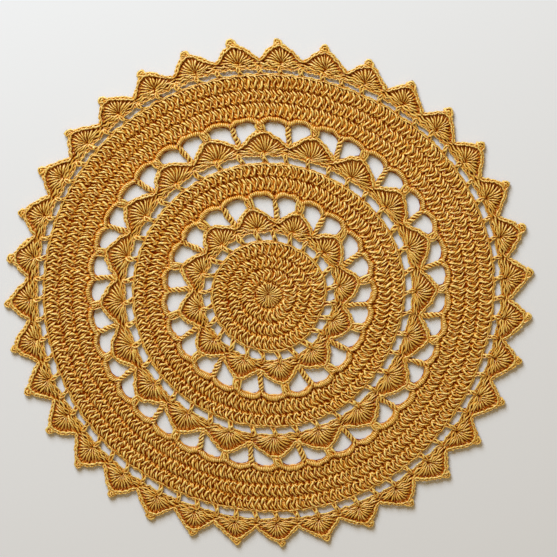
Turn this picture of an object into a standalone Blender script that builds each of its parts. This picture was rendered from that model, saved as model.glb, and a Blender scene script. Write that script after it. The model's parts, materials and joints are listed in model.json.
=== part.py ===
"""Round crocheted lace doily, lying flat: one cotton cloth with every lace gap cut through.

Metres, +Z up. The origin is the middle of the rim, on the flat underside.
Turns are degrees clockwise from +Y, seen from above.
"""
import math

import bmesh
import bpy
from mathutils import Vector
from mathutils.geometry import delaunay_2d_cdt

MM = 0.001

# Height of the cloth above its underside.
GROOVE_HEIGHT = 2.0 * MM       # between two rounds of stitches
CREST_HEIGHT = 2.7 * MM        # along the middle of a round
EDGE_HEIGHT = 2.0 * MM         # at the walls of gaps and along the rim
FAN_HEIGHT = 2.6 * MM          # fan face
EYE_HEIGHT = 1.9 * MM          # dimple that a fan's stitches spring from

# Strands between the gaps.
SPOKE_WIDTH = 3.4 * MM         # twisted stitch from a fan's valley to the arch
SPOKE_LEAN = 2.8 * MM          # how far a spoke's outer end stands back, anticlockwise, from its foot
SPOKE_FOOT = 0.3               # share of that lean by which the foot stands clockwise of the valley
TIP_JOIN_WIDTH = 5.8 * MM      # knotted join from a fan's tip to the arch
ARCH_WIDTH = 2.9 * MM          # wrapped chain arch along the inside of a band
ARCH_BOW = 3.0 * MM            # how far an arch bends outwards between its two ends
POST_LEAN = 2.0 * MM           # how far a post's outer end stands back from its foot
FAN_EDGE_WIDTH = 1.9 * MM      # braid along a fan's two sloping sides
PICOT_WIDTH = 4.3 * MM         # loop of chain on a rim fan's tip
PICOT_LENGTH = 4.8 * MM

# Dense bands of stitches: inner and outer radius of each, rounds in it, and points around its rings.
BANDS = (
    # (name, inner_radius, outer_radius, rounds, points_round_ring)
    ("centre", 0.0, 33.4 * MM, 4, 48),
    ("middle", 64.5 * MM, 81.2 * MM, 2, 80),
    ("outer", 109.5 * MM, 135.1 * MM, 3, 100),
)

# Lace rounds: fans, the small gaps under them, the step out to the eye that a fan springs from,
# and where each fan stands. Under an arch the tip is where a fan's straight sides would meet.
LACES = (
    # (name, fans, gap_radius, gap_width, gap_depth, eye_step,
    #  valley_radius, tip_radius, arch_radius, first_tip)
    ("inner", 12, 37.5 * MM, 7.2 * MM, 5.0 * MM, 2.0 * MM, 47.3 * MM, 57.8 * MM, 64.5 * MM, -9.7),
    ("middle", 20, 84.8 * MM, 10.8 * MM, 4.2 * MM, 1.4 * MM, 93.6 * MM, 104.7 * MM, 109.5 * MM, -2.2),
    ("rim", 35, 138.5 * MM, 9.8 * MM, 4.3 * MM, 3.2 * MM, 146.6 * MM, 159.8 * MM, None, 2.85),
)
TIP_LEAN = -1.0                # degrees that a rim fan's picot stands back from its middle

# Corners of a small gap: across in gap widths, outwards in gap depths.
SMALL_GAP = ((-0.5, 0.1), (-0.42, 0.5), (0.42, 0.5), (0.5, -0.1), (0.42, -0.5), (-0.42, -0.5))

# Sides of a rim fan: share of the way from its middle to the valley, rise from the valley to the picot.
RIM_LEFT_SIDE = ((1.0, 0.0), (0.82, 0.32), (0.64, 0.68), (0.45, 0.95))
RIM_RIGHT_SIDE = ((0.24, 0.94), (0.45, 0.68), (0.67, 0.38))

# Picot from its left foot over the tip: across in half widths, down from the tip in picot lengths.
PICOT = ((-0.90, 1.0), (-1.05, 0.42), (-0.50, 0.0), (0.45, 0.06), (1.0, 0.50))

# Inside of an arch from the spoke to the tip join: share of the way from the fan's middle to its valley,
# part of the bow.
ARCH_INSIDE = ((0.80, 0.42), (0.62, 0.06), (0.42, 0.0), (0.28, 0.22))
JOIN_TOP = 0.6                 # part of the bow where the tip join meets the arch

# Hand-made unevenness: how far the rounds sit towards +Y of the rim's middle,
DRIFT = (
    # (radius, towards_y)
    (0.0, 2.4 * MM),
    (36.0 * MM, 1.3 * MM),
    (108.0 * MM, 1.1 * MM),
    (136.0 * MM, 0.8 * MM),
    (147.0 * MM, 0.0),
)
# and how far waves round the cloth push it outwards or sideways.
WAVES = (
    # (lobes, start_degrees, outwards, sideways)
    (1, -30.0, 0.0, 0.5 * MM),
    (3, -90.0, 0.45 * MM, 0.0),
    (4, 180.0, 0.45 * MM, 0.0),
    (5, 70.0, 0.20 * MM, 0.25 * MM),
)
TIP_SPREAD = 1.1 * MM          # rim tips reach this much more or less
TURN_SPREAD = 0.35             # degrees that a fan may sit off its place

CLOTH_COLOR = (0.62, 0.36, 0.065, 1.0)


def spot(radius, turn):
    """Point in the plan at a radius and a clockwise turn from +Y."""
    angle = math.radians(turn)
    return Vector((radius * math.sin(angle), radius * math.cos(angle)))


def hand_wobble(number, kind):
    """Repeatable value from -1 to 1 for one fan."""
    return math.sin(number * 12.9898 + kind * 4.1414)


def drift(radius):
    """How far the round at a radius sits towards +Y."""
    for (near, near_drift), (far, far_drift) in zip(DRIFT, DRIFT[1:]):
        if radius <= far:
            return near_drift + (far_drift - near_drift) * (radius - near) / (far - near)
    return DRIFT[-1][1]


def uneven(point):
    """Move a plan point the way hand tension leaves rounds slightly out of round."""
    radius = point.length
    turn = math.degrees(math.atan2(point.x, point.y))
    easing = min(1.0, radius / BANDS[0][2])
    push_out = 0.0
    push_side = 0.0
    for lobes, start, outwards, sideways in WAVES:
        wave = easing * math.sin(math.radians(lobes * turn + start))
        push_out += outwards * wave
        push_side += sideways * wave
    outward = spot(1.0, turn)
    shift = Vector((0.0, drift(radius)))
    return point + shift + outward * push_out + Vector((outward.y, -outward.x)) * push_side


def ring(radius, count, offset=0.0):
    """Closed ring of plan points."""
    return [spot(radius, 360.0 * (number + offset) / count) for number in range(count)]


def band_rings(inner_radius, outer_radius, rounds, count):
    """Grooves and crests of one dense band, as (plan points, height)."""
    rings = []
    depth = (outer_radius - inner_radius) / rounds
    for step in range(2 * rounds + 1):
        radius = inner_radius + depth * step / 2.0
        height = CREST_HEIGHT if step % 2 else GROOVE_HEIGHT
        if radius < MM:
            continue
        share = min(1.0, radius / (0.7 * BANDS[0][2]))
        rings.append((ring(radius, max(12, 4 * round(count * share / 4)), 0.25 * step), height))
    return rings


def fan_turn(fans, first_tip, number):
    """Turn of a fan's middle."""
    return first_tip + 360.0 * number / fans + TURN_SPREAD * hand_wobble(number % fans, fans)


def small_gap(radius, width, depth, turn):
    """Six-sided gap between two leaning posts under the fans."""
    loop = []
    for across, out in SMALL_GAP:
        along = width * across - POST_LEAN * out
        loop.append(spot(radius + depth * out, turn + math.degrees(along / radius)))
    return loop


def large_gap(middle, valley, valley_radius, tip_radius, arch_radius):
    """Gap between a fan's sloping side, its spoke, its tip join and the arch above."""
    sector = math.radians(abs(valley - middle))
    arch_inside = arch_radius - ARCH_WIDTH
    gap_top = arch_inside - ARCH_BOW

    def at(share, radius):
        climb = (radius - valley_radius) / (arch_inside - valley_radius)
        lean = SPOKE_LEAN * (climb - SPOKE_FOOT)
        return spot(radius, middle + (valley - middle) * share - math.degrees(lean / radius))

    def beside_join(radius):
        return TIP_JOIN_WIDTH / 2.0 / (radius * sector)

    def beside_spoke(radius):
        return 1.0 - SPOKE_WIDTH / 2.0 / (radius * sector)

    slope = tip_radius - valley_radius
    foot_share = beside_spoke(valley_radius)
    join_share = beside_join(tip_radius)
    join_radius = arch_inside - JOIN_TOP * ARCH_BOW
    return [
        at(join_share, tip_radius - slope * join_share),
        at(foot_share, tip_radius - slope * foot_share),
        at(beside_spoke(gap_top), gap_top),
        *[at(share, arch_inside - bow * ARCH_BOW) for share, bow in ARCH_INSIDE],
        at(beside_join(join_radius), join_radius),
    ]


def fan_face(middle, valleys, eye_radius, valley_radius, tip_radius):
    """Points that shape one fan's face, as (plan point, height)."""
    tip_inside = tip_radius - 1.5 * FAN_EDGE_WIDTH
    valley_inside = valley_radius - FAN_EDGE_WIDTH
    points = [(spot(eye_radius, middle), EYE_HEIGHT), (spot(tip_inside, middle), FAN_HEIGHT)]
    for valley in valleys:
        for share in (0.38, 0.75):
            radius = tip_inside + (valley_inside - tip_inside) * share
            points.append((spot(radius, middle + (valley - middle) * share), FAN_HEIGHT))
    return points


def rim_fan(middle, valleys, valley_radius, tip_radius):
    """Outline of one rim fan from its left valley up over the picot, without its right valley."""
    left = valleys[0] - middle
    right = valleys[1] - middle
    slope = tip_radius - PICOT_LENGTH - valley_radius
    picot_turn = math.degrees(PICOT_WIDTH / 2.0 / tip_radius)
    outline = [spot(valley_radius + rise * slope, middle + share * left) for share, rise in RIM_LEFT_SIDE]
    for across, down in PICOT:
        outline.append(spot(tip_radius - down * PICOT_LENGTH, middle + TIP_LEAN + across * picot_turn))
    outline += [spot(valley_radius + rise * slope, middle + share * right) for share, rise in RIM_RIGHT_SIDE]
    return outline


def draw_plan():
    """Outline, gaps, and the raised rings and points inside them."""
    outline = []
    gaps = []
    rings = []
    points = []
    for _, inner_radius, outer_radius, rounds, count in BANDS:
        rings += band_rings(inner_radius, outer_radius, rounds, count)
    for lace in LACES:
        _, fans, gap_radius, gap_width, gap_depth, eye_step = lace[:6]
        valley_radius, tip_radius, arch_radius, first_tip = lace[6:]
        eye_radius = gap_radius + gap_depth / 2.0 + eye_step
        for number in range(fans):
            middle = fan_turn(fans, first_tip, number)
            valleys = [(middle + fan_turn(fans, first_tip, number + side)) / 2.0 for side in (-1, 1)]
            for valley in valleys:
                gaps.append(small_gap(gap_radius, gap_width, gap_depth, (middle + valley) / 2.0))
                if arch_radius:
                    gaps.append(large_gap(middle, valley, valley_radius, tip_radius, arch_radius))
            face_tip = tip_radius if arch_radius else tip_radius - PICOT_LENGTH
            points += fan_face(middle, valleys, eye_radius, valley_radius, face_tip)
            if not arch_radius:
                reach = tip_radius + TIP_SPREAD * hand_wobble(number, 1)
                outline += rim_fan(middle, valleys, valley_radius, reach)
    return outline, gaps, rings, points


def anticlockwise(loop):
    """The loop, turned round if it runs clockwise seen from above."""
    area = sum(near.cross(far) for near, far in zip(loop, loop[1:] + loop[:1]))
    return loop if area > 0.0 else loop[::-1]


def fill_plan(loops, inner_rings, inner_points):
    """Triangles between the outline (the first loop) and the gaps (the others)."""
    plan = []
    edges = []
    faces = []
    for loop in loops:
        faces.append(list(range(len(plan), len(plan) + len(loop))))
        plan += loop
    for loop in inner_rings:
        start = len(plan)
        edges += [(start + step, start + (step + 1) % len(loop)) for step in range(len(loop))]
        plan += loop
    plan += inner_points
    corners, _, triangles, _, _, inside = delaunay_2d_cdt(plan, edges, faces, 0, 1e-7)
    if len(corners) != len(plan):
        raise ValueError("lines of the plan cross each other")
    return [triangle for triangle, owners in zip(triangles, inside) if owners == [0]]


def build_doily():
    """The cloth: ribbed top, walls round every gap, flat underside."""
    outline, gaps, rings, points = draw_plan()
    loops = [anticlockwise([uneven(point) for point in loop]) for loop in [outline] + gaps]
    ring_loops = [[uneven(point) for point in loop] for loop, _ in rings]
    free_points = [uneven(point) for point, _ in points]

    heights = [EDGE_HEIGHT] * sum(len(loop) for loop in loops)
    for loop, height in rings:
        heights += [height] * len(loop)
    heights += [height for _, height in points]
    plan = sum(loops + ring_loops, []) + free_points

    mesh = bmesh.new()
    top = [mesh.verts.new((point.x, point.y, height)) for point, height in zip(plan, heights)]
    rim_count = sum(len(loop) for loop in loops)
    bottom = [mesh.verts.new((point.x, point.y, 0.0)) for point in plan[:rim_count]]
    for triangle in fill_plan(loops, ring_loops, free_points):
        mesh.faces.new([top[corner] for corner in triangle])
    for triangle in fill_plan(loops, [], []):
        mesh.faces.new([bottom[corner] for corner in reversed(triangle)])
    start = 0
    for loop in loops:
        for step in range(len(loop)):
            near = start + step
            far = start + (step + 1) % len(loop)
            mesh.faces.new((top[near], top[far], bottom[far], bottom[near]))
        start += len(loop)
    bmesh.ops.recalc_face_normals(mesh, faces=mesh.faces)
    return mesh


def cotton():
    """Golden mercerised cotton."""
    material = bpy.data.materials.new("golden_cotton")
    material.use_nodes = True
    shader = material.node_tree.nodes["Principled BSDF"]
    shader.inputs["Base Color"].default_value = CLOTH_COLOR
    shader.inputs["Roughness"].default_value = 0.62
    shader.inputs["Metallic"].default_value = 0.0
    return material


def main():
    for old in list(bpy.data.objects):
        bpy.data.objects.remove(old, do_unlink=True)
    cloth = bpy.data.meshes.new("doily")
    shape = build_doily()
    shape.to_mesh(cloth)
    shape.free()
    cloth.materials.append(cotton())
    doily = bpy.data.objects.new("doily", cloth)
    bpy.context.scene.collection.objects.link(doily)


main()
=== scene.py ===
import json
import math

import bpy
import numpy as np
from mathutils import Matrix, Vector

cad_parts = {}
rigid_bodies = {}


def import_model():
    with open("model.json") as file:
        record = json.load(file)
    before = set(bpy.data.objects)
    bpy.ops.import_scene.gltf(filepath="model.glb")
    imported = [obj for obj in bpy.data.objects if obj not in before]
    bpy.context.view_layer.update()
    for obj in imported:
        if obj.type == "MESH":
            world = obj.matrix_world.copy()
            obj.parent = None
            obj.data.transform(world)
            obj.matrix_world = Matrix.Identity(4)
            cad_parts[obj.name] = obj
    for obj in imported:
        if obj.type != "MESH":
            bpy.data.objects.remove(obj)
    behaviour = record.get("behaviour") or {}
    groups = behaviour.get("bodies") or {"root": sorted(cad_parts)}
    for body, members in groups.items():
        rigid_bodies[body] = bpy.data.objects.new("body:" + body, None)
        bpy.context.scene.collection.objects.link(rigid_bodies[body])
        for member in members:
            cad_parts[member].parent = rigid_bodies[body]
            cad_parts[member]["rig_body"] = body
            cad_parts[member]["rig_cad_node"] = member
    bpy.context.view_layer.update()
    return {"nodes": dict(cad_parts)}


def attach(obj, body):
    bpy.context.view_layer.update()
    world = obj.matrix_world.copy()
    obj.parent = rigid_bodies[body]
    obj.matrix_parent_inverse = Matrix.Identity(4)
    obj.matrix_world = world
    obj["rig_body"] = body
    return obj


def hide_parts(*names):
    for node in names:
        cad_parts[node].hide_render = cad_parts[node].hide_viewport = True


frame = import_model()
bpy.ops.object.select_all(action="DESELECT")

mm = 0.001

# one cotton yarn makes the whole cloth, in millimetres
cotton = {
    "thickness": 0.98,
    "sides": 1,             # bevel resolution, 1 is a six-sided strand
    "twist": 4.0,           # length of yarn in which a ply goes once round
    "plies": 3,
    "stagger": 0.37,        # turns by which the twist starts later on each next strand
}

# dense bands, from the middle outwards: the lace whose arches each grows from,
# where it starts and where each round ends in millimetres, and how many stitches each round has
bands = {
    "centre": {"over": None, "inner": 0.5, "edges": [7.6, 16.1, 24.3, 33.4], "stitches": [12, 24, 36, 48]},
    "middle": {"over": "inner", "inner": 64.4, "edges": [73.2, 81.2], "stitches": [120, 120]},
    "outer": {"over": "middle", "inner": 109.4, "edges": [117.8, 126.0, 134.9],
              "stitches": [200, 200, 210]},
}

# lace rounds: radii and depths in millimetres, firstTip in degrees clockwise from the far side
laces = {
    "inner": {"fans": 12, "firstTip": -9.7, "chain": 34.2, "stitches": 48, "gap": 37.5, "gapDepth": 5.0,
              "eye": 42.0, "valley": 47.3, "tip": 57.8, "arch": 64.0},
    "middle": {"fans": 20, "firstTip": -2.2, "chain": 81.9, "stitches": 120, "gap": 84.8, "gapDepth": 4.2,
               "eye": 88.3, "valley": 93.6, "tip": 104.7, "arch": 109.2},
    "rim": {"fans": 35, "firstTip": 2.85, "chain": 136.0, "stitches": 210, "gap": 138.5, "gapDepth": 4.3,
            "eye": 143.9, "valley": 146.6, "tip": 155.0, "arch": None},
}

# hand tension, in millimetres unless noted
tension = {
    # pulls the cloth out of round: lobes, start in degrees, outwards, sideways
    "waves": [(1, -30, 0, 0.5), (3, -90, 0.45, 0), (4, 180, 0.45, 0), (5, 70, 0.20, 0.25)],
    # the middle has drifted towards the far side: at this radius, by this much
    "drift": [(0, 2.4), (36, 1.3), (108, 1.1), (136, 0.8), (147, 0)],
    # the chain over the rim's small gaps sags: lobes, start in degrees, inwards
    "sag": [(0, 90, 0.55), (1, 90, 0.6), (11, 20, 0.28), (18, 130, 0.28)],
    "spokeLean": 2.8,       # how far a spoke's outer end stands anticlockwise of its foot
    "footLean": 0.3,        # share of that by which the foot itself stands clockwise of the valley
    "postLean": 2.0,        # and a post's outer end anticlockwise of its foot
    "turnSpread": 0.35,     # degrees by which a fan strays sideways
    "tipSpread": 1.1,       # and the tip of a rim fan outwards or inwards
    "dipFade": 1.5,         # power by which the dips between arches fade across the next round
    # unevenness from stitch to stitch: wavelength, sideways, up and down
    "wander": [(9.0, 0.16, 0.06), (4.5, 0.14, 0.08), (2.6, 0.05, 0.04)],
    "crossing": 3,          # waves of each length, any way across each other
    "finer": (0.7, 1.3),    # and by how much each is finer or coarser
    "lowest": 0.02,         # height that nothing sinks below
}


def newYarn(name):
    bpy.ops.object.select_all(action="DESELECT")
    bpy.ops.curve.primitive_bezier_curve_add()
    yarn = bpy.context.object
    yarn.name = name
    yarn.data.splines.clear()
    yarn.data.dimensions = "3D"
    yarn.data.bevel_depth = cotton["thickness"] / 2 * mm
    yarn.data.bevel_resolution = cotton["sides"]
    yarn.data.use_fill_caps = True
    return yarn


# one strand, through points of x, y, lift and, where it is pulled thin, its share of the full thickness
def lay(yarn, points, slim=1.0):
    spline = yarn.data.splines.new("POLY")
    spline.points.add(len(points) - 1)
    for knot, (x, y, lift, *thin) in zip(spline.points, points):
        knot.co = (x * mm, y * mm, lift * mm, 1)
        knot.radius = slim * (thin[0] if thin else 1)


def polar(radius, turn):
    return Vector((radius * math.sin(turn), radius * math.cos(turn)))


# a converted tube's map runs 0 to 1 along each strand; here it counts turns of the twist instead
def toMesh(yarn):
    runs = []
    for spline in yarn.data.splines:
        knots = [knot.co.to_3d() for knot in spline.points]
        runs.append((len(knots) - 1, sum((b - a).length for a, b in zip(knots, knots[1:]))))
    bpy.ops.object.select_all(action="DESELECT")
    yarn.select_set(True)
    bpy.context.view_layer.objects.active = yarn
    bpy.ops.object.convert(target="MESH")
    yarn = bpy.context.object
    bpy.ops.object.shade_smooth()
    corners = yarn.data.uv_layers.active.data
    turns = np.empty(2 * len(corners), np.float32)
    corners.foreach_get("uv", turns)
    turns = turns.reshape(-1, 2)
    ring = 4 * (4 + 2 * cotton["sides"])    # corners of the faces once round a strand
    start = len(corners) - ring * sum(steps for steps, _ in runs)    # those of the caps come first
    for number, (steps, length) in enumerate(runs):
        turns[start:start + ring * steps, 0] *= length / (cotton["twist"] * mm)
        turns[start:start + ring * steps, 0] += cotton["stagger"] * number
        start += ring * steps
    corners.foreach_set("uv", turns.ravel())
    return yarn


# copies a piece round the middle up to that count, together being how many it holds already
def aroundMiddle(piece, count, together=1):
    bpy.ops.object.empty_add()
    turner = bpy.context.object
    turner.rotation_euler = (0, 0, -2 * math.pi * together / count)
    bpy.ops.object.select_all(action="DESELECT")
    bpy.context.view_layer.objects.active = piece
    copies = piece.modifiers.new("round", "ARRAY")
    copies.count = count // together
    copies.use_relative_offset = False
    copies.use_object_offset = True
    copies.offset_object = turner
    piece.select_set(True)
    bpy.ops.object.modifier_apply(modifier="round")
    bpy.data.objects.remove(turner)
    return piece


# arches: yarn wrapped round and round a bowed line, half a fan long, and a plain strand under it
arch = {
    "bow": 2.8, "square": 2.4,      # how far it bends outwards, and how flat its middle is
    "turns": 15, "steps": 6,        # of the wrapping, and points to a turn
    "wide": 1.1, "high": 1.05, "lift": 1.75, "slim": 1.1,
    "inside": 1.2,                  # from its top to where the spokes' lean ends
    "start": 0.03, "length": 0.94,  # shares of the half fan
    "underInside": 1.6, "underLift": 0.5, "underSlim": 1.15, "underSteps": 8,
}


# how far an arch lies inside its top, along running 0 to 1 from end to end
def archBow(along):
    return arch["bow"] * abs(2 * along - 1) ** arch["square"]


def gapTop(lace):
    return lace["gap"] + lace["gapDepth"] / 2


# between -1 and 1, and other for each number and kind
def handWobble(number, kind, perNumber=12.9898, perKind=4.1414):
    return np.sin(number * perNumber + kind * perKind)


# no two fans stand quite evenly: their middles and the valleys between them stray sideways
def spreadFans(turn, sector, lace):
    steps = np.arange(-lace["fans"], 2 * lace["fans"])
    stray = tension["turnSpread"] * handWobble(steps % lace["fans"], lace["fans"])
    middles = lace["firstTip"] + sector * steps + stray
    valleys = (middles[:-1] + middles[1:]) / 2
    evenTurns = np.sort(np.concatenate([sector * steps, sector * (steps[:-1] + 0.5)]))
    return np.interp(turn, evenTurns, np.sort(np.concatenate([middles, valleys])))


def leanPosts(radius, turn, lace):
    out = np.clip((radius - lace["gap"]) / lace["gapDepth"], -0.5, 0.5)
    return turn - np.degrees(tension["postLean"] * out / radius)


def leanSpokes(radius, turn, lace):
    leans = [0, -tension["footLean"], 1 - tension["footLean"]]
    out = np.interp(radius, [gapTop(lace), lace["valley"], lace["arch"] - arch["inside"]], leans)
    return turn - np.degrees(tension["spokeLean"] * out / radius)


# rim fans reach out unevenly, and the chain under them sags
def loosenRim(radius, turn, number, lace):
    out = np.clip((radius - lace["valley"]) / (lace["tip"] - lace["valley"]), 0, 1)
    radius = radius + out * tension["tipSpread"] * handWobble(number % lace["fans"], 1)
    loose = np.interp(radius, [lace["chain"], gapTop(lace), lace["valley"]], [0, 1, 0])
    for lobes, start, inwards in tension["sag"]:
        radius = radius - loose * inwards * np.sin(np.radians(lobes * turn + start))
    return radius


# the first round over the arches dips between them
def dipOverArches(radius, turn, over, inner, edge):
    leant = np.degrees(tension["spokeLean"] * (1 - tension["footLean"]) / over["arch"])
    halfFans = (turn + leant - over["firstTip"]) * over["fans"] / 180
    near = np.clip((edge - radius) / (edge - inner), 0, 1) ** tension["dipFade"]
    return radius - archBow(halfFans % 1) * near


# back to x and y, pulled out of round
def pullRound(points, radius, turn):
    easing = np.minimum(1, radius / bands["centre"]["edges"][-1])
    angle = np.radians(turn)
    outwards = np.zeros(len(points))
    sideways = np.zeros(len(points))
    for lobes, start, push, slip in tension["waves"]:
        wave = easing * np.sin(lobes * angle + math.radians(start))
        outwards += push * wave
        sideways += slip * wave
    points[:, 0] = (radius + outwards) * np.sin(angle) + sideways * np.cos(angle)
    points[:, 1] = (radius + outwards) * np.cos(angle) - sideways * np.sin(angle)
    points[:, 1] += np.interp(radius, *zip(*tension["drift"]))


# small unevenness, other for each seed
def wanderAbout(points, seed):
    draw = np.random.default_rng(seed)
    for length, aside, up in tension["wander"]:
        for axis, size in enumerate((aside, aside, up)):
            shift = np.zeros(len(points))
            for _ in range(tension["crossing"]):
                way = draw.normal(size=2)
                way *= 2 * math.pi / length / np.linalg.norm(way) * draw.uniform(*tension["finer"])
                shift += np.sin(points[:, :2] @ way + draw.uniform(0, 2 * math.pi))
            points[:, axis] += shift * size
    points[:, 2] = np.maximum(points[:, 2], tension["lowest"])


# moves a piece's points the way hand tension leaves the cloth
def relax(piece, seed, lace=None, leaningPosts=False, overArches=None):
    points = np.empty(3 * len(piece.data.vertices), np.float32)
    piece.data.vertices.foreach_get("co", points)
    points = points.reshape(-1, 3).astype(float) / mm
    radius = np.hypot(points[:, 0], points[:, 1])
    turn = np.degrees(np.arctan2(points[:, 0], points[:, 1]))
    if lace:
        sector = 360 / lace["fans"]
        number = np.round(turn / sector)
        turn = spreadFans(turn, sector, lace)
        if leaningPosts:
            turn = leanPosts(radius, turn, lace)
        if lace["arch"]:
            turn = leanSpokes(radius, turn, lace)
        else:
            radius = loosenRim(radius, turn, number, lace)
    if overArches:
        radius = dipOverArches(radius, turn, *overArches)
    pullRound(points, radius, turn)
    wanderAbout(points, seed)
    piece.data.vertices.foreach_set("co", (points * mm).ravel())
    piece.data.update()
    return piece


# dense rounds: the strands of one stitch, rising outwards,
# across in stitch widths clockwise, up in stitch heights, lift in millimetres
trebleStrands = {
    "slant": [(-0.34, 1.14, 0.7, 0.9), (-0.20, 1.05, 1.5), (0.0, 0.97, 2.15), (0.18, 0.87, 2.5),
              (0.32, 0.77, 2.4), (0.43, 0.66, 1.9), (0.50, 0.55, 1.3), (0.54, 0.46, 0.7, 0.9)],
    "leg": [(0.13, 0.82, 0.9, 0.9), (0.12, 0.73, 1.7), (0.09, 0.62, 2.3, 1.05), (0.04, 0.50, 2.6, 1.05),
            (-0.05, 0.39, 2.5), (-0.16, 0.30, 2.2), (-0.28, 0.23, 1.6), (-0.38, 0.18, 0.8, 0.9)],
    "knot": [(-0.82, 0.34, 0.9, 0.9), (-0.70, 0.32, 1.7), (-0.58, 0.28, 2.0), (-0.46, 0.21, 1.6),
             (-0.38, 0.15, 0.8)],
    "behind": [(0.40, 1.02, 0.7, 0.9), (0.50, 0.95, 1.4), (0.62, 0.85, 1.8), (0.72, 0.72, 1.4),
               (0.78, 0.58, 0.8)],
    "low": [(0.54, 0.55, 0.8), (0.63, 0.45, 1.4), (0.71, 0.35, 1.6), (0.80, 0.26, 1.3), (0.90, 0.18, 0.7)],
    "back": [(-0.05, 0.06, 0.5), (0.0, 0.5, 0.65), (-0.02, 0.94, 0.5)],
    "backBetween": [(0.45, 0.06, 0.5), (0.5, 0.5, 0.65), (0.48, 0.94, 0.5)],
}
# the first round springs from one ring, two rays to a stitch
firstStrands = {
    "ray": [(0.0, 0.06, 1.3, 0.3), (0.0, 0.26, 2.1, 0.42), (0.01, 0.48, 2.5, 0.62),
            (0.03, 0.70, 2.5, 0.85), (0.01, 0.88, 2.0, 0.95), (-0.05, 1.02, 1.1, 0.9)],
    "between": [(0.5, 0.12, 1.2, 0.3), (0.5, 0.30, 1.9, 0.42), (0.5, 0.52, 2.3, 0.62),
                (0.51, 0.74, 2.3, 0.85), (0.48, 0.92, 1.9, 0.95), (0.42, 1.06, 1.1, 0.9)],
    "knot": [(0.12, 0.90, 1.0), (0.24, 0.97, 1.8), (0.36, 0.96, 1.7), (0.44, 0.88, 0.9)],
    "back": [(0.25, 0.35, 0.5, 0.5), (0.25, 1.0, 0.6)],
    "backBetween": [(0.75, 0.35, 0.5, 0.5), (0.75, 1.0, 0.6)],
}
# no two stitches are pulled alike: across and up in stitches, lift in millimetres, share of the thickness
uneven = {
    "stitches": 20,         # how many differ before they repeat, at most
    "across": 0.04, "up": 0.022, "lift": 0.13, "slim": 0.07,
    "lowest": 0.5,          # lift of a strand's middle line
    "seed": 100,            # keeps these seeds clear of the pieces' own
}


def denseRound(name, strands, inner, outer, count, seed, over=None):
    yarn = newYarn(name)
    pitch = 2 * math.pi / count
    draw = np.random.default_rng(uneven["seed"] + seed)
    unlike = math.gcd(count, uneven["stitches"])
    for stitch in range(unlike):
        for strand in strands.values():
            aside, further, higher, fuller = draw.normal(size=4)
            points = []
            for across, up, lift, *thin in strand:
                radius = inner + (outer - inner) * (up + uneven["up"] * further)
                spot = polar(radius, pitch * (stitch + across + uneven["across"] * aside))
                points.append((*spot, max(uneven["lowest"], lift + uneven["lift"] * higher), *thin))
            lay(yarn, points, 1 + uneven["slim"] * fuller)
    whole = aroundMiddle(toMesh(yarn), count, unlike)
    return relax(whole, seed, overArches=(over, inner, outer) if over else None)


# one link of a chain: along in links, to the right of its way and up in millimetres
chainLink = {
    "right": [(-0.35, -0.20, 1.2), (-0.05, 0.28, 1.9), (0.35, 0.62, 2.2), (0.80, 0.50, 2.2),
              (1.15, 0.05, 1.9), (1.38, -0.22, 1.1)],
    "left": [(-0.25, 0.20, 0.9), (0.05, -0.34, 1.5), (0.45, -0.66, 1.8), (0.88, -0.46, 1.9),
             (1.22, 0.0, 1.2)],
}


def lengthOf(line):
    return sum((b - a).length for a, b in zip(line, line[1:]))


# the spot at a share of a line's length, and the way the line runs there
def walk(line, share):
    rest = share * lengthOf(line)
    for a, b in zip(line, line[1:]):
        length = (b - a).length
        if rest <= length or b is line[-1]:
            way = (b - a) / length
            return a + way * rest, way
        rest -= length


def rightOf(way):
    return Vector((way.y, -way.x))


# a chain along a line: link is about the length of one and sink how deep it lies, in millimetres
def chain(yarn, line, shape):
    links = round(lengthOf(line) / shape["link"])
    for number in range(links):
        for strand in chainLink.values():
            points = []
            for along, out, lift in strand:
                spot, way = walk(line, (number + along) / links)
                spot = spot + rightOf(way) * out * shape["wide"]
                points.append((*spot, lift - shape["sink"]))
            lay(yarn, points, shape["slim"])


# the smooth chain along the end of a dense band
bandEdge = {"wide": 0.8, "slim": 0.87, "sink": 0.25}


def bandChain(name, lace, seed):
    yarn = newYarn(name)
    pitch = 2 * math.pi / lace["stitches"]
    for strand in chainLink.values():
        points = []
        for along, out, lift in strand:
            spot = polar(lace["chain"] - out * bandEdge["wide"], pitch * along)
            points.append((*spot, lift - bandEdge["sink"]))
        lay(yarn, points, bandEdge["slim"])
    return relax(aroundMiddle(toMesh(yarn), lace["stitches"]), seed)


# posts between the small gaps: aside in millimetres, share of the gap's depth, lift
post = {"slim": 1.15}
postStrands = {
    "left": [(-1.5, -0.32, 0.9), (-1.2, -0.02, 1.7), (-1.0, 0.33, 2.1), (-1.05, 0.75, 2.2), (-0.7, 1.12, 2.4),
             (0.1, 1.36, 2.3), (0.7, 1.40, 1.1)],
    "right": [(1.6, -0.32, 0.9), (1.2, -0.02, 1.6), (0.95, 0.30, 1.9), (1.0, 0.68, 2.1), (1.2, 1.02, 2.2),
              (0.8, 1.30, 1.7)],
    "wrap": [(-1.3, 0.25, 1.0), (-0.7, 0.36, 2.2), (0.1, 0.56, 2.5), (0.8, 0.76, 2.3), (1.3, 0.90, 1.4)],
    "back": [(0.05, -0.2, 0.7), (0.0, 0.5, 0.9), (0.0, 1.2, 0.8)],
}


def posts(name, lace, seed):
    yarn = newYarn(name)
    low = lace["gap"] - lace["gapDepth"] / 2
    for share in (-1, 0):
        middle = share * math.pi / lace["fans"]
        for strand in postStrands.values():
            points = []
            for aside, out, lift in strand:
                radius = low + lace["gapDepth"] * out
                points.append((*polar(radius, middle + aside / radius), lift))
            lay(yarn, points, post["slim"])
    return relax(aroundMiddle(toMesh(yarn), lace["fans"]), seed, lace, leaningPosts=True)


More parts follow.
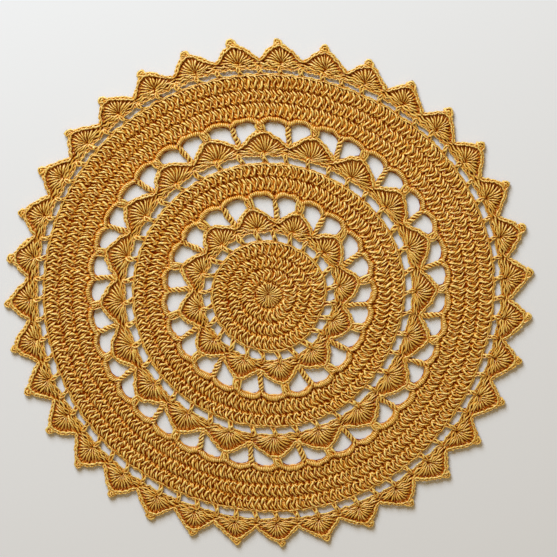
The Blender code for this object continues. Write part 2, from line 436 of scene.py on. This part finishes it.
# a spot in a fan's frame, where share runs -1 to 1 from valley to valley
def fanSpot(lace, share, radius):
    return polar(radius, share * math.pi / lace["fans"])


# the fan's edge from its left valley over the tip: share of the half fan, rise from valley to tip
fanTop = 0.83
fanOutline = {
    "lace": [(-1, 0), (-0.6, 0.40), (-0.27, 0.70), (0, fanTop), (0.27, 0.70), (0.6, 0.40), (1, 0)],
    "rim": [(-1, 0), (-0.82, 0.32), (-0.62, 0.70), (-0.42, 1.0), (-0.16, 1.16), (0.08, 1.10),
            (0.32, 0.86), (0.64, 0.44), (1, 0)],
}
fanEdge = {"inside": 0.9, "link": 2.8, "wide": 1.15, "slim": 1.16, "sink": -0.1}


# the middle line of the edge rope, inside the outline
def fanRim(lace):
    points = []
    for share, rise in fanOutline["lace" if lace["arch"] else "rim"]:
        points.append(fanSpot(lace, share, lace["valley"] + (lace["tip"] - lace["valley"]) * rise))
    line = []
    for number, point in enumerate(points):
        along = points[min(number + 1, len(points) - 1)] - points[max(number - 1, 0)]
        line.append(point + rightOf(along.normalized()) * fanEdge["inside"])
    return line


def fanEdges(name, lace, seed):
    yarn = newYarn(name)
    chain(yarn, fanRim(lace), fanEdge)
    return relax(aroundMiddle(toMesh(yarn), lace["fans"]), seed, lace)


# fans: stitches from the eye out to the edge rope
fan = {
    "stitches": 12,
    "eye": (1.1, 2.7),      # how far from the eye they start, by turns
    "foot": 0.7,            # where the outermost end, share of the way from gap to valley
    "sillSlim": 1.1,
}
# strands of one stitch: across in stitches, up in shares of its length, lift, share of the thickness
fanStrands = {
    "leg": [(0.0, -0.02, 0.9, 0.5), (0.0, 0.10, 1.9, 0.7), (0.01, 0.26, 2.5, 0.95),
            (0.03, 0.44, 2.45, 1.08), (0.02, 0.62, 1.9, 1.05), (-0.04, 0.78, 1.2, 0.9),
            (-0.08, 0.88, 0.7, 0.7)],
    "hook": [(0.40, 0.70, 0.5, 0.5), (0.42, 0.79, 0.9, 0.65), (0.34, 0.88, 1.2, 0.75),
             (0.16, 0.94, 1.3, 0.75)],
    "back": [(0.0, 0.02, 0.46, 0.5), (0.0, 0.45, 0.46, 0.9), (0.0, 0.95, 0.46, 1.3)],
    "backBetween": [(0.5, 0.02, 0.46, 0.5), (0.5, 0.45, 0.46, 0.9), (0.5, 0.95, 0.46, 1.3)],
}
# below them a chain runs over the small gaps
sillChain = {"link": 3.6, "wide": 1.05, "slim": 0.95, "sink": 0.3}
# share of the half fan, rise from gap to valley
sillLine = [(-1.0, 0.14), (-0.75, 0.02), (-0.5, 0.10), (-0.25, 0.04), (0.0, 0.02), (0.25, 0.09), (0.5, 0.03),
            (0.75, 0.12), (1.0, 0.14)]
# and loose strands fill the space up to the fan: share of the half fan, share of that space, lift
sillStrands = {
    "leftHigh": [(-0.04, 0.84, 1.1), (-0.20, 0.98, 2.1), (-0.38, 0.74, 2.3), (-0.56, 0.96, 1.5),
                 (-0.76, 0.72, 2.2), (-0.99, 0.88, 1.2)],
    "leftLow": [(-0.02, 0.42, 1.3), (-0.22, 0.66, 2.2), (-0.42, 0.42, 1.5), (-0.62, 0.62, 2.3),
                (-0.82, 0.40, 1.7), (-0.99, 0.52, 1.1)],
    "rightHigh": [(0.05, 0.80, 1.2), (0.24, 0.94, 1.7), (0.42, 0.78, 2.3), (0.60, 0.98, 1.9),
                  (0.80, 0.74, 1.4), (0.99, 0.92, 1.9)],
    "rightLow": [(0.02, 0.60, 1.1), (0.18, 0.46, 2.1), (0.38, 0.64, 1.4), (0.60, 0.44, 2.1),
                 (0.80, 0.58, 1.9), (0.99, 0.42, 1.1)],
}


def fanStitches(yarn, lace, foot):
    eye = fanSpot(lace, 0, lace["eye"])
    border = [fanSpot(lace, -1, foot)] + fanRim(lace) + [fanSpot(lace, 1, foot)]
    for number in range(fan["stitches"]):
        for strand in fanStrands.values():
            points = []
            for across, up, lift, thin in strand:
                top, _ = walk(border, min(1, max(0, (number + 0.5 + across) / fan["stitches"])))
                start = eye + (top - eye).normalized() * fan["eye"][number % 2]
                points.append((*start.lerp(top, up), lift, thin))
            lay(yarn, points)


def sill(yarn, lace, foot):
    rise = lace["valley"] - gapTop(lace)
    chain(yarn, [fanSpot(lace, share, gapTop(lace) + rise * up) for share, up in sillLine], sillChain)
    for strand in sillStrands.values():
        points = []
        for share, up, lift in strand:
            space = lace["eye"] + (foot - lace["eye"]) * abs(share) - gapTop(lace)
            points.append((*fanSpot(lace, share, gapTop(lace) + space * up), lift))
        lay(yarn, points, fan["sillSlim"])


def fans(name, lace, seed):
    yarn = newYarn(name)
    foot = gapTop(lace) + fan["foot"] * (lace["valley"] - gapTop(lace))
    fanStitches(yarn, lace, foot)
    sill(yarn, lace, foot)
    return relax(aroundMiddle(toMesh(yarn), lace["fans"]), seed, lace)


# spokes: strands twisted round each other, from each valley out to the arches
spoke = {
    "strands": 3, "radius": 1.3, "high": 0.75, "lift": 1.45, "slim": 1.3,
    "twist": 7.5, "steps": 8,   # length of one turn, and points to it
    "inside": 1.6,              # how far inside the valley it starts and inside the arch it ends
}
# and a knot on each tip, from inside the fan's edge to inside the arches
tipKnot = {"inside": 0.6, "under": 1.2, "slim": 1.3}
# aside in millimetres, share of that way, lift
tipStrands = {
    "left": [(-1.0, -0.30, 1.2), (-1.9, 0.02, 2.0), (-2.3, 0.45, 2.3), (-2.2, 0.85, 2.2), (-2.9, 1.25, 1.4)],
    "right": [(1.1, -0.30, 1.2), (1.9, 0.02, 2.0), (2.3, 0.40, 2.3), (2.1, 0.80, 2.2), (2.8, 1.25, 1.4)],
    "over": [(-2.1, 1.05, 1.5), (-1.1, 0.80, 2.4), (0.1, 0.80, 2.7), (1.1, 0.52, 2.6), (0.7, 0.15, 2.4),
             (-0.4, 0.08, 2.4), (-1.2, 0.30, 1.9), (-1.0, 0.62, 1.1)],
    "across": [(-1.7, 0.95, 1.6), (-0.9, 0.62, 2.3), (0.3, 0.36, 2.5), (1.3, 0.05, 1.7)],
    "behindLeft": [(-0.9, -0.2, 0.8), (-0.9, 1.1, 0.8)],
    "behind": [(0.1, -0.2, 0.8), (0.1, 1.1, 0.9)],
    "behindRight": [(1.0, -0.2, 0.8), (1.0, 1.1, 0.8)],
}


def twistedSpoke(yarn, lace):
    foot = lace["valley"] - spoke["inside"]
    length = lace["arch"] - spoke["inside"] - foot
    for number in range(spoke["strands"]):
        points = []
        for step in range(round(length / spoke["twist"] * spoke["steps"]) + 1):
            angle = 2 * math.pi * (step / spoke["steps"] + number / spoke["strands"])
            radius = foot + spoke["twist"] * step / spoke["steps"]
            spot = polar(radius, spoke["radius"] * math.sin(angle) / radius - math.pi / lace["fans"])
            points.append((*spot, spoke["lift"] + spoke["high"] * math.cos(angle)))
        lay(yarn, points, spoke["slim"])


def knotOverTip(yarn, lace):
    edge = lace["valley"] + fanTop * (lace["tip"] - lace["valley"]) - tipKnot["inside"]
    for strand in tipStrands.values():
        points = []
        for aside, out, lift in strand:
            radius = edge + (lace["arch"] - tipKnot["under"] - edge) * out
            points.append((*polar(radius, aside / radius), lift))
        lay(yarn, points, tipKnot["slim"])


def spokes(name, lace, seed):
    yarn = newYarn(name)
    twistedSpoke(yarn, lace)
    knotOverTip(yarn, lace)
    return relax(aroundMiddle(toMesh(yarn), lace["fans"]), seed, lace)


def archShare(side, along):
    return side * (arch["start"] + arch["length"] * along)


def arches(name, lace, seed):
    yarn = newYarn(name)
    for side in (-1, 1):
        points = []
        for step in range(arch["turns"] * arch["steps"] + 1):
            along = step / (arch["turns"] * arch["steps"])
            angle = 2 * math.pi * step / arch["steps"]
            radius = lace["arch"] - archBow(along) + arch["wide"] * math.cos(angle)
            spot = fanSpot(lace, archShare(side, along), radius)
            points.append((*spot, arch["lift"] + arch["high"] * math.sin(angle)))
        lay(yarn, points, arch["slim"])
        under = []
        for step in range(arch["underSteps"] + 1):
            along = step / arch["underSteps"]
            radius = lace["arch"] - arch["underInside"] - archBow(along)
            under.append((*fanSpot(lace, archShare(side, along), radius), arch["underLift"]))
        lay(yarn, under, arch["underSlim"])
    return relax(aroundMiddle(toMesh(yarn), lace["fans"]), seed, lace)


# picots: a curled knot standing on each rim fan, lean being degrees clockwise of the fan's middle
picot = {"lean": -1.0, "middle": 156.9, "slim": 1.3, "sink": 0.35}
# aside and outwards from the knot's own middle in millimetres, lift
picotStrands = {
    "over": [(-1.9, -3.2, 1.0), (-2.3, -1.6, 1.8), (-2.2, 0.2, 2.1), (-1.4, 1.6, 2.1), (-0.1, 2.1, 2.1),
             (1.2, 1.5, 2.1), (1.9, 0.2, 2.0), (2.5, -1.4, 1.1)],
    "curl": [(-0.9, -2.4, 1.1), (-1.1, -0.9, 2.0), (-0.5, 0.5, 2.4), (0.5, 0.7, 2.4), (0.9, -0.3, 2.2),
             (0.5, -1.4, 1.2)],
    "wrap": [(-2.7, -0.3, 1.1), (-1.8, -0.5, 2.3), (-0.7, -0.9, 2.6), (0.5, -1.5, 2.3), (1.6, -2.3, 1.2)],
    "under": [(-1.0, 1.0, 0.8), (0.0, -0.6, 0.9), (0.6, -2.6, 0.8)],
    "side": [(1.2, 0.9, 0.9), (1.3, -0.9, 1.5), (1.7, -2.4, 1.0)],
    "leftShoulder": [(-3.3, -4.6, 1.4), (-2.8, -3.6, 2.1), (-2.3, -2.6, 2.2), (-1.9, -1.6, 1.6)],
    "rightShoulder": [(4.4, -3.9, 1.4), (3.7, -2.7, 2.2), (3.0, -1.5, 2.4), (2.4, -0.1, 2.3),
                      (1.8, 1.2, 1.7)],
}


def picots(name, lace, seed):
    yarn = newYarn(name)
    middle = math.radians(picot["lean"])
    for strand in picotStrands.values():
        points = []
        for aside, out, lift in strand:
            radius = picot["middle"] + out
            points.append((*polar(radius, middle + aside / radius), lift - picot["sink"]))
        lay(yarn, points, picot["slim"])
    return relax(aroundMiddle(toMesh(yarn), lace["fans"]), seed, lace)


# each piece's seed is how many came before it
pieces = []
for bandName, band in bands.items():
    inner = band["inner"]
    over = laces.get(band["over"])
    for number, (edge, count) in enumerate(zip(band["edges"], band["stitches"])):
        strands = trebleStrands if pieces else firstStrands
        name = f"{bandName}Round{number + 1}"
        pieces.append(denseRound(name, strands, inner, edge, count, len(pieces), over))
        inner = edge
        over = None
    print(bandName, "band:", len(band["edges"]), "rounds")
for laceName, lace in laces.items():
    pieces.append(bandChain(laceName + "Chain", lace, len(pieces)))
    pieces.append(posts(laceName + "Posts", lace, len(pieces)))
    pieces.append(fans(laceName + "Fans", lace, len(pieces)))
    pieces.append(fanEdges(laceName + "FanEdges", lace, len(pieces)))
    if lace["arch"]:
        pieces.append(spokes(laceName + "Spokes", lace, len(pieces)))
        pieces.append(arches(laceName + "Arches", lace, len(pieces)))
    else:
        pieces.append(picots(laceName + "Picots", lace, len(pieces)))
    print(laceName, "lace:", lace["fans"], "fans")


# a shader socket, so that maths on it reads as an expression
class Wire:
    def __init__(self, look, socket):
        self.look = look
        self.socket = socket

    def calc(self, operation, other):
        return self.look.add("ShaderNodeMath", {"operation": operation}, {0: self, 1: other})

    def __add__(self, other):
        return self.calc("ADD", other)

    __radd__ = __add__

    def __mul__(self, other):
        return self.calc("MULTIPLY", other)

    __rmul__ = __mul__


# the socket of that name that is in use, or the one of that number
def pick(sockets, key):
    if isinstance(key, int):
        return sockets[key]
    return [socket for socket in sockets if socket.name == key and socket.enabled][0]


class Look:
    def __init__(self, name):
        self.material = bpy.data.materials.new(name)
        self.material.use_nodes = True
        self.tree = self.material.node_tree
        self.shader = self.tree.nodes["Principled BSDF"]

    def add(self, kind, settings, sockets, output=0):
        node = self.tree.nodes.new(kind)
        for key, value in settings.items():
            setattr(node, key, value)
        self.feed(node, sockets)
        return Wire(self, pick(node.outputs, output))

    def feed(self, node, sockets):
        for key, value in sockets.items():
            socket = pick(node.inputs, key)
            if isinstance(value, Wire):
                self.tree.links.new(value.socket, socket)
            else:
                socket.default_value = value


# three tones, mixed by how open each spot is to the yarn around it: a dark red-brown painted shade where
# other yarn shuts it in, the golden yarn, and a pale straw painted as a highlight on the most open tops,
# shown unevenly at random; and how open each begins
tones = {
    "dense": {"shut": 0.24, "open": 0.88, "paintedHighlight": 0.68, "paintedShade": (0.67, 0.165, 0.0006, 1),
              "golden": (0.80, 0.435, 0.005, 1), "straw": (0.785, 0.70, 0.25, 1)},
    # the lace's tones are a darker copy of the dense bands', painted shade for lace that lies more open to
    # the light
    "lace": {"shut": 0.36, "open": 0.94, "paintedHighlight": 0.76, "paintedShade": (0.58, 0.135, 0.0005, 1),
             "golden": (0.725, 0.39, 0.004, 1), "straw": (0.73, 0.65, 0.215, 1)},
}
# and the finish they share, with how far the painted shade reaches and how unevenly the painted straw
# highlight shows
finishAndPaintedShade = {
    "reach": 0.0022, "samples": 6,                          # how far off other yarn still shuts it in
    "ribs": 0.5, "ribHeight": 0.00013,                      # of the twisted plies
    # the straw tone is a painted highlight on the most open tops; the cloud only makes it show unevenly
    "cloud": 220.0, "cloudDetail": 2.0, "moreStraw": 0.25,  # how unevenly the straw tone shows
    "sheen": {"Roughness": 0.48, "Specular IOR Level": 0.4, "IOR": 1.6, "Coat Weight": 0.6,
              "Coat Roughness": 0.22},
}


def cottonLook(kind):
    tone = tones[kind]
    look = Look(kind + "Cotton")
    twist = look.add("ShaderNodeUVMap", {"uv_map": "UVMap"}, {})
    turns, around = [look.add("ShaderNodeSeparateXYZ", {}, {"Vector": twist}, axis) for axis in "XY"]
    plies = (turns + around) * (2 * math.pi * cotton["plies"])
    ridge = look.add("ShaderNodeMath", {"operation": "SINE"}, {0: plies})
    bump = look.add("ShaderNodeBump", {}, {"Strength": finishAndPaintedShade["ribs"], "Distance": finishAndPaintedShade["ribHeight"],
                                           "Height": ridge})
    place = look.add("ShaderNodeTexCoord", {}, {}, "Object")
    cloudy = look.add("ShaderNodeTexNoise", {}, {"Vector": place, "Scale": finishAndPaintedShade["cloud"],
                                                 "Detail": finishAndPaintedShade["cloudDetail"]})
    # painted shade: ambient occlusion measures how far other yarn shuts each spot in, and the outer mix below
    # turns shut-in spots to the dark red-brown shade tone, darkening the crevices between strands
    openness = look.add("ShaderNodeAmbientOcclusion", {"samples": finishAndPaintedShade["samples"]},
                        {"Distance": finishAndPaintedShade["reach"]}, "AO")
    outer = look.add("ShaderNodeMapRange", {"interpolation_type": "SMOOTHSTEP"},
                     {"Value": openness, "From Min": tone["shut"], "From Max": tone["open"]})
    # painted highlight: the most open yarn turns towards the pale straw tone, more in some places than others
    # by the cloud noise
    paintedHighlight = look.add("ShaderNodeMapRange", {"interpolation_type": "SMOOTHSTEP"},
                    {"Value": openness, "From Min": tone["paintedHighlight"], "From Max": 1.0})
    outside = look.add("ShaderNodeMix", {"data_type": "RGBA"},
                       {"Factor": paintedHighlight * (cloudy + finishAndPaintedShade["moreStraw"]), "A": tone["golden"],
                        "B": tone["straw"]}, "Result")
    colour = look.add("ShaderNodeMix", {"data_type": "RGBA"},
                      {"Factor": outer, "A": tone["paintedShade"], "B": outside}, "Result")
    look.feed(look.shader, {"Base Color": colour, "Normal": bump, **finishAndPaintedShade["sheen"]})
    return look.material


denseLook = cottonLook("dense")
laceLook = cottonLook("lace")
for piece in pieces:
    piece.data.materials.clear()
    piece.data.materials.append(denseLook if "Round" in piece.name else laceLook)
    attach(piece, "root")
print("cotton on", len(pieces), "pieces")

# painted shade: a thin dark copy made from the cloth's solid, shrunk and flattened under the strands and seen
# only between them, so that the gaps show dark
shadeSheet = {
    "shrink": 0.75 * mm, "weld": 0.01 * mm,
    "flatten": 0.25, "level": 0.5 * mm,         # share of the height that stays, about this level
    "look": {"Base Color": (0.22, 0.035, 0.0010, 1), "Roughness": 1.0, "Specular IOR Level": 0.0},
}


def addShadeSheet(ground):
    bpy.ops.object.select_all(action="DESELECT")
    shadeCore = ground.copy()
    shadeCore.data = ground.data.copy()
    shadeCore.name = "shadeCore"
    bpy.context.scene.collection.objects.link(shadeCore)
    shadeCore.parent = None
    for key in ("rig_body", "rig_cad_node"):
        if key in shadeCore:
            del shadeCore[key]
    shadeCore.select_set(True)
    bpy.context.view_layer.objects.active = shadeCore
    bpy.ops.object.mode_set(mode="EDIT")
    bpy.ops.mesh.select_all(action="SELECT")
    bpy.ops.mesh.remove_doubles(threshold=shadeSheet["weld"])
    bpy.ops.transform.shrink_fatten(value=-shadeSheet["shrink"])
    bpy.ops.transform.resize(value=(1, 1, shadeSheet["flatten"]), center_override=(0, 0, shadeSheet["level"]))
    bpy.ops.object.mode_set(mode="OBJECT")
    look = Look("shadedCotton")
    look.feed(look.shader, shadeSheet["look"])
    shadeCore.data.materials.clear()
    shadeCore.data.materials.append(look.material)
    return shadeCore


shadeCore = addShadeSheet(frame["nodes"]["doily"])
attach(shadeCore, "root")
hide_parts("doily")

table = {"size": 4, "look": {"Base Color": (0.735, 0.83, 0.915, 1), "Roughness": 0.8}}
bpy.ops.mesh.primitive_plane_add(size=table["size"])
floor = bpy.context.object
floor.name = "floor"
tableLook = Look("paleTable")
tableLook.feed(tableLook.shader, table["look"])
floor.data.materials.append(tableLook.material)
print("table")

# looking down from a little in front of straight above
view = {
    "tilt": 13.2, "distance": 1.463,
    "focal": 2415.6, "middle": (268.5, 297.7), "frame": 557,    # in pixels
    "sensor": 36,
}


def addCamera():
    tilt = math.radians(view["tilt"])
    forward = Vector((0, -math.sin(tilt), -math.cos(tilt)))
    upward = Vector((0, math.cos(tilt), -math.sin(tilt)))
    pixel = view["distance"] / view["focal"]
    aside = (view["frame"] / 2 - view["middle"][0]) * pixel
    above = (view["middle"][1] - view["frame"] / 2) * pixel
    bpy.ops.object.camera_add()
    camera = bpy.context.object
    camera.data.sensor_width = view["sensor"]
    camera.data.lens = view["sensor"] * view["focal"] / view["frame"]
    camera.location = Vector((aside, 0, 0)) + upward * above - forward * view["distance"]
    camera.rotation_euler = (-tilt, 0, 0)
    bpy.context.scene.camera = camera


# low window-like light from the far side, a little from the left, and a warm room round it
light = {
    "distance": 1.85, "elevation": 32, "turn": -19,
    "size": 1.05, "power": 42.8, "colour": (1, 1, 1.03),
    "sky": 0.36, "skyColour": (1, 0.66, 0.32, 1),
}


def addLight():
    elevation = math.radians(light["elevation"])
    away = polar(light["distance"] * math.cos(elevation), math.radians(light["turn"]))
    bpy.ops.object.light_add(type="AREA", location=(*away, light["distance"] * math.sin(elevation)))
    key = bpy.context.object
    key.data.shape = "DISK"
    key.data.size = light["size"]
    key.data.energy = light["power"]
    key.data.color = light["colour"]
    key.rotation_euler = (-key.location).to_track_quat("-Z", "Y").to_euler()
    world = bpy.data.worlds.new("studio")
    world.use_nodes = True
    background = world.node_tree.nodes["Background"]
    background.inputs["Color"].default_value = light["skyColour"]
    background.inputs["Strength"].default_value = light["sky"]
    bpy.context.scene.world = world


addCamera()
addLight()
bpy.context.scene.view_settings.view_transform = "Standard"
print("camera and light")
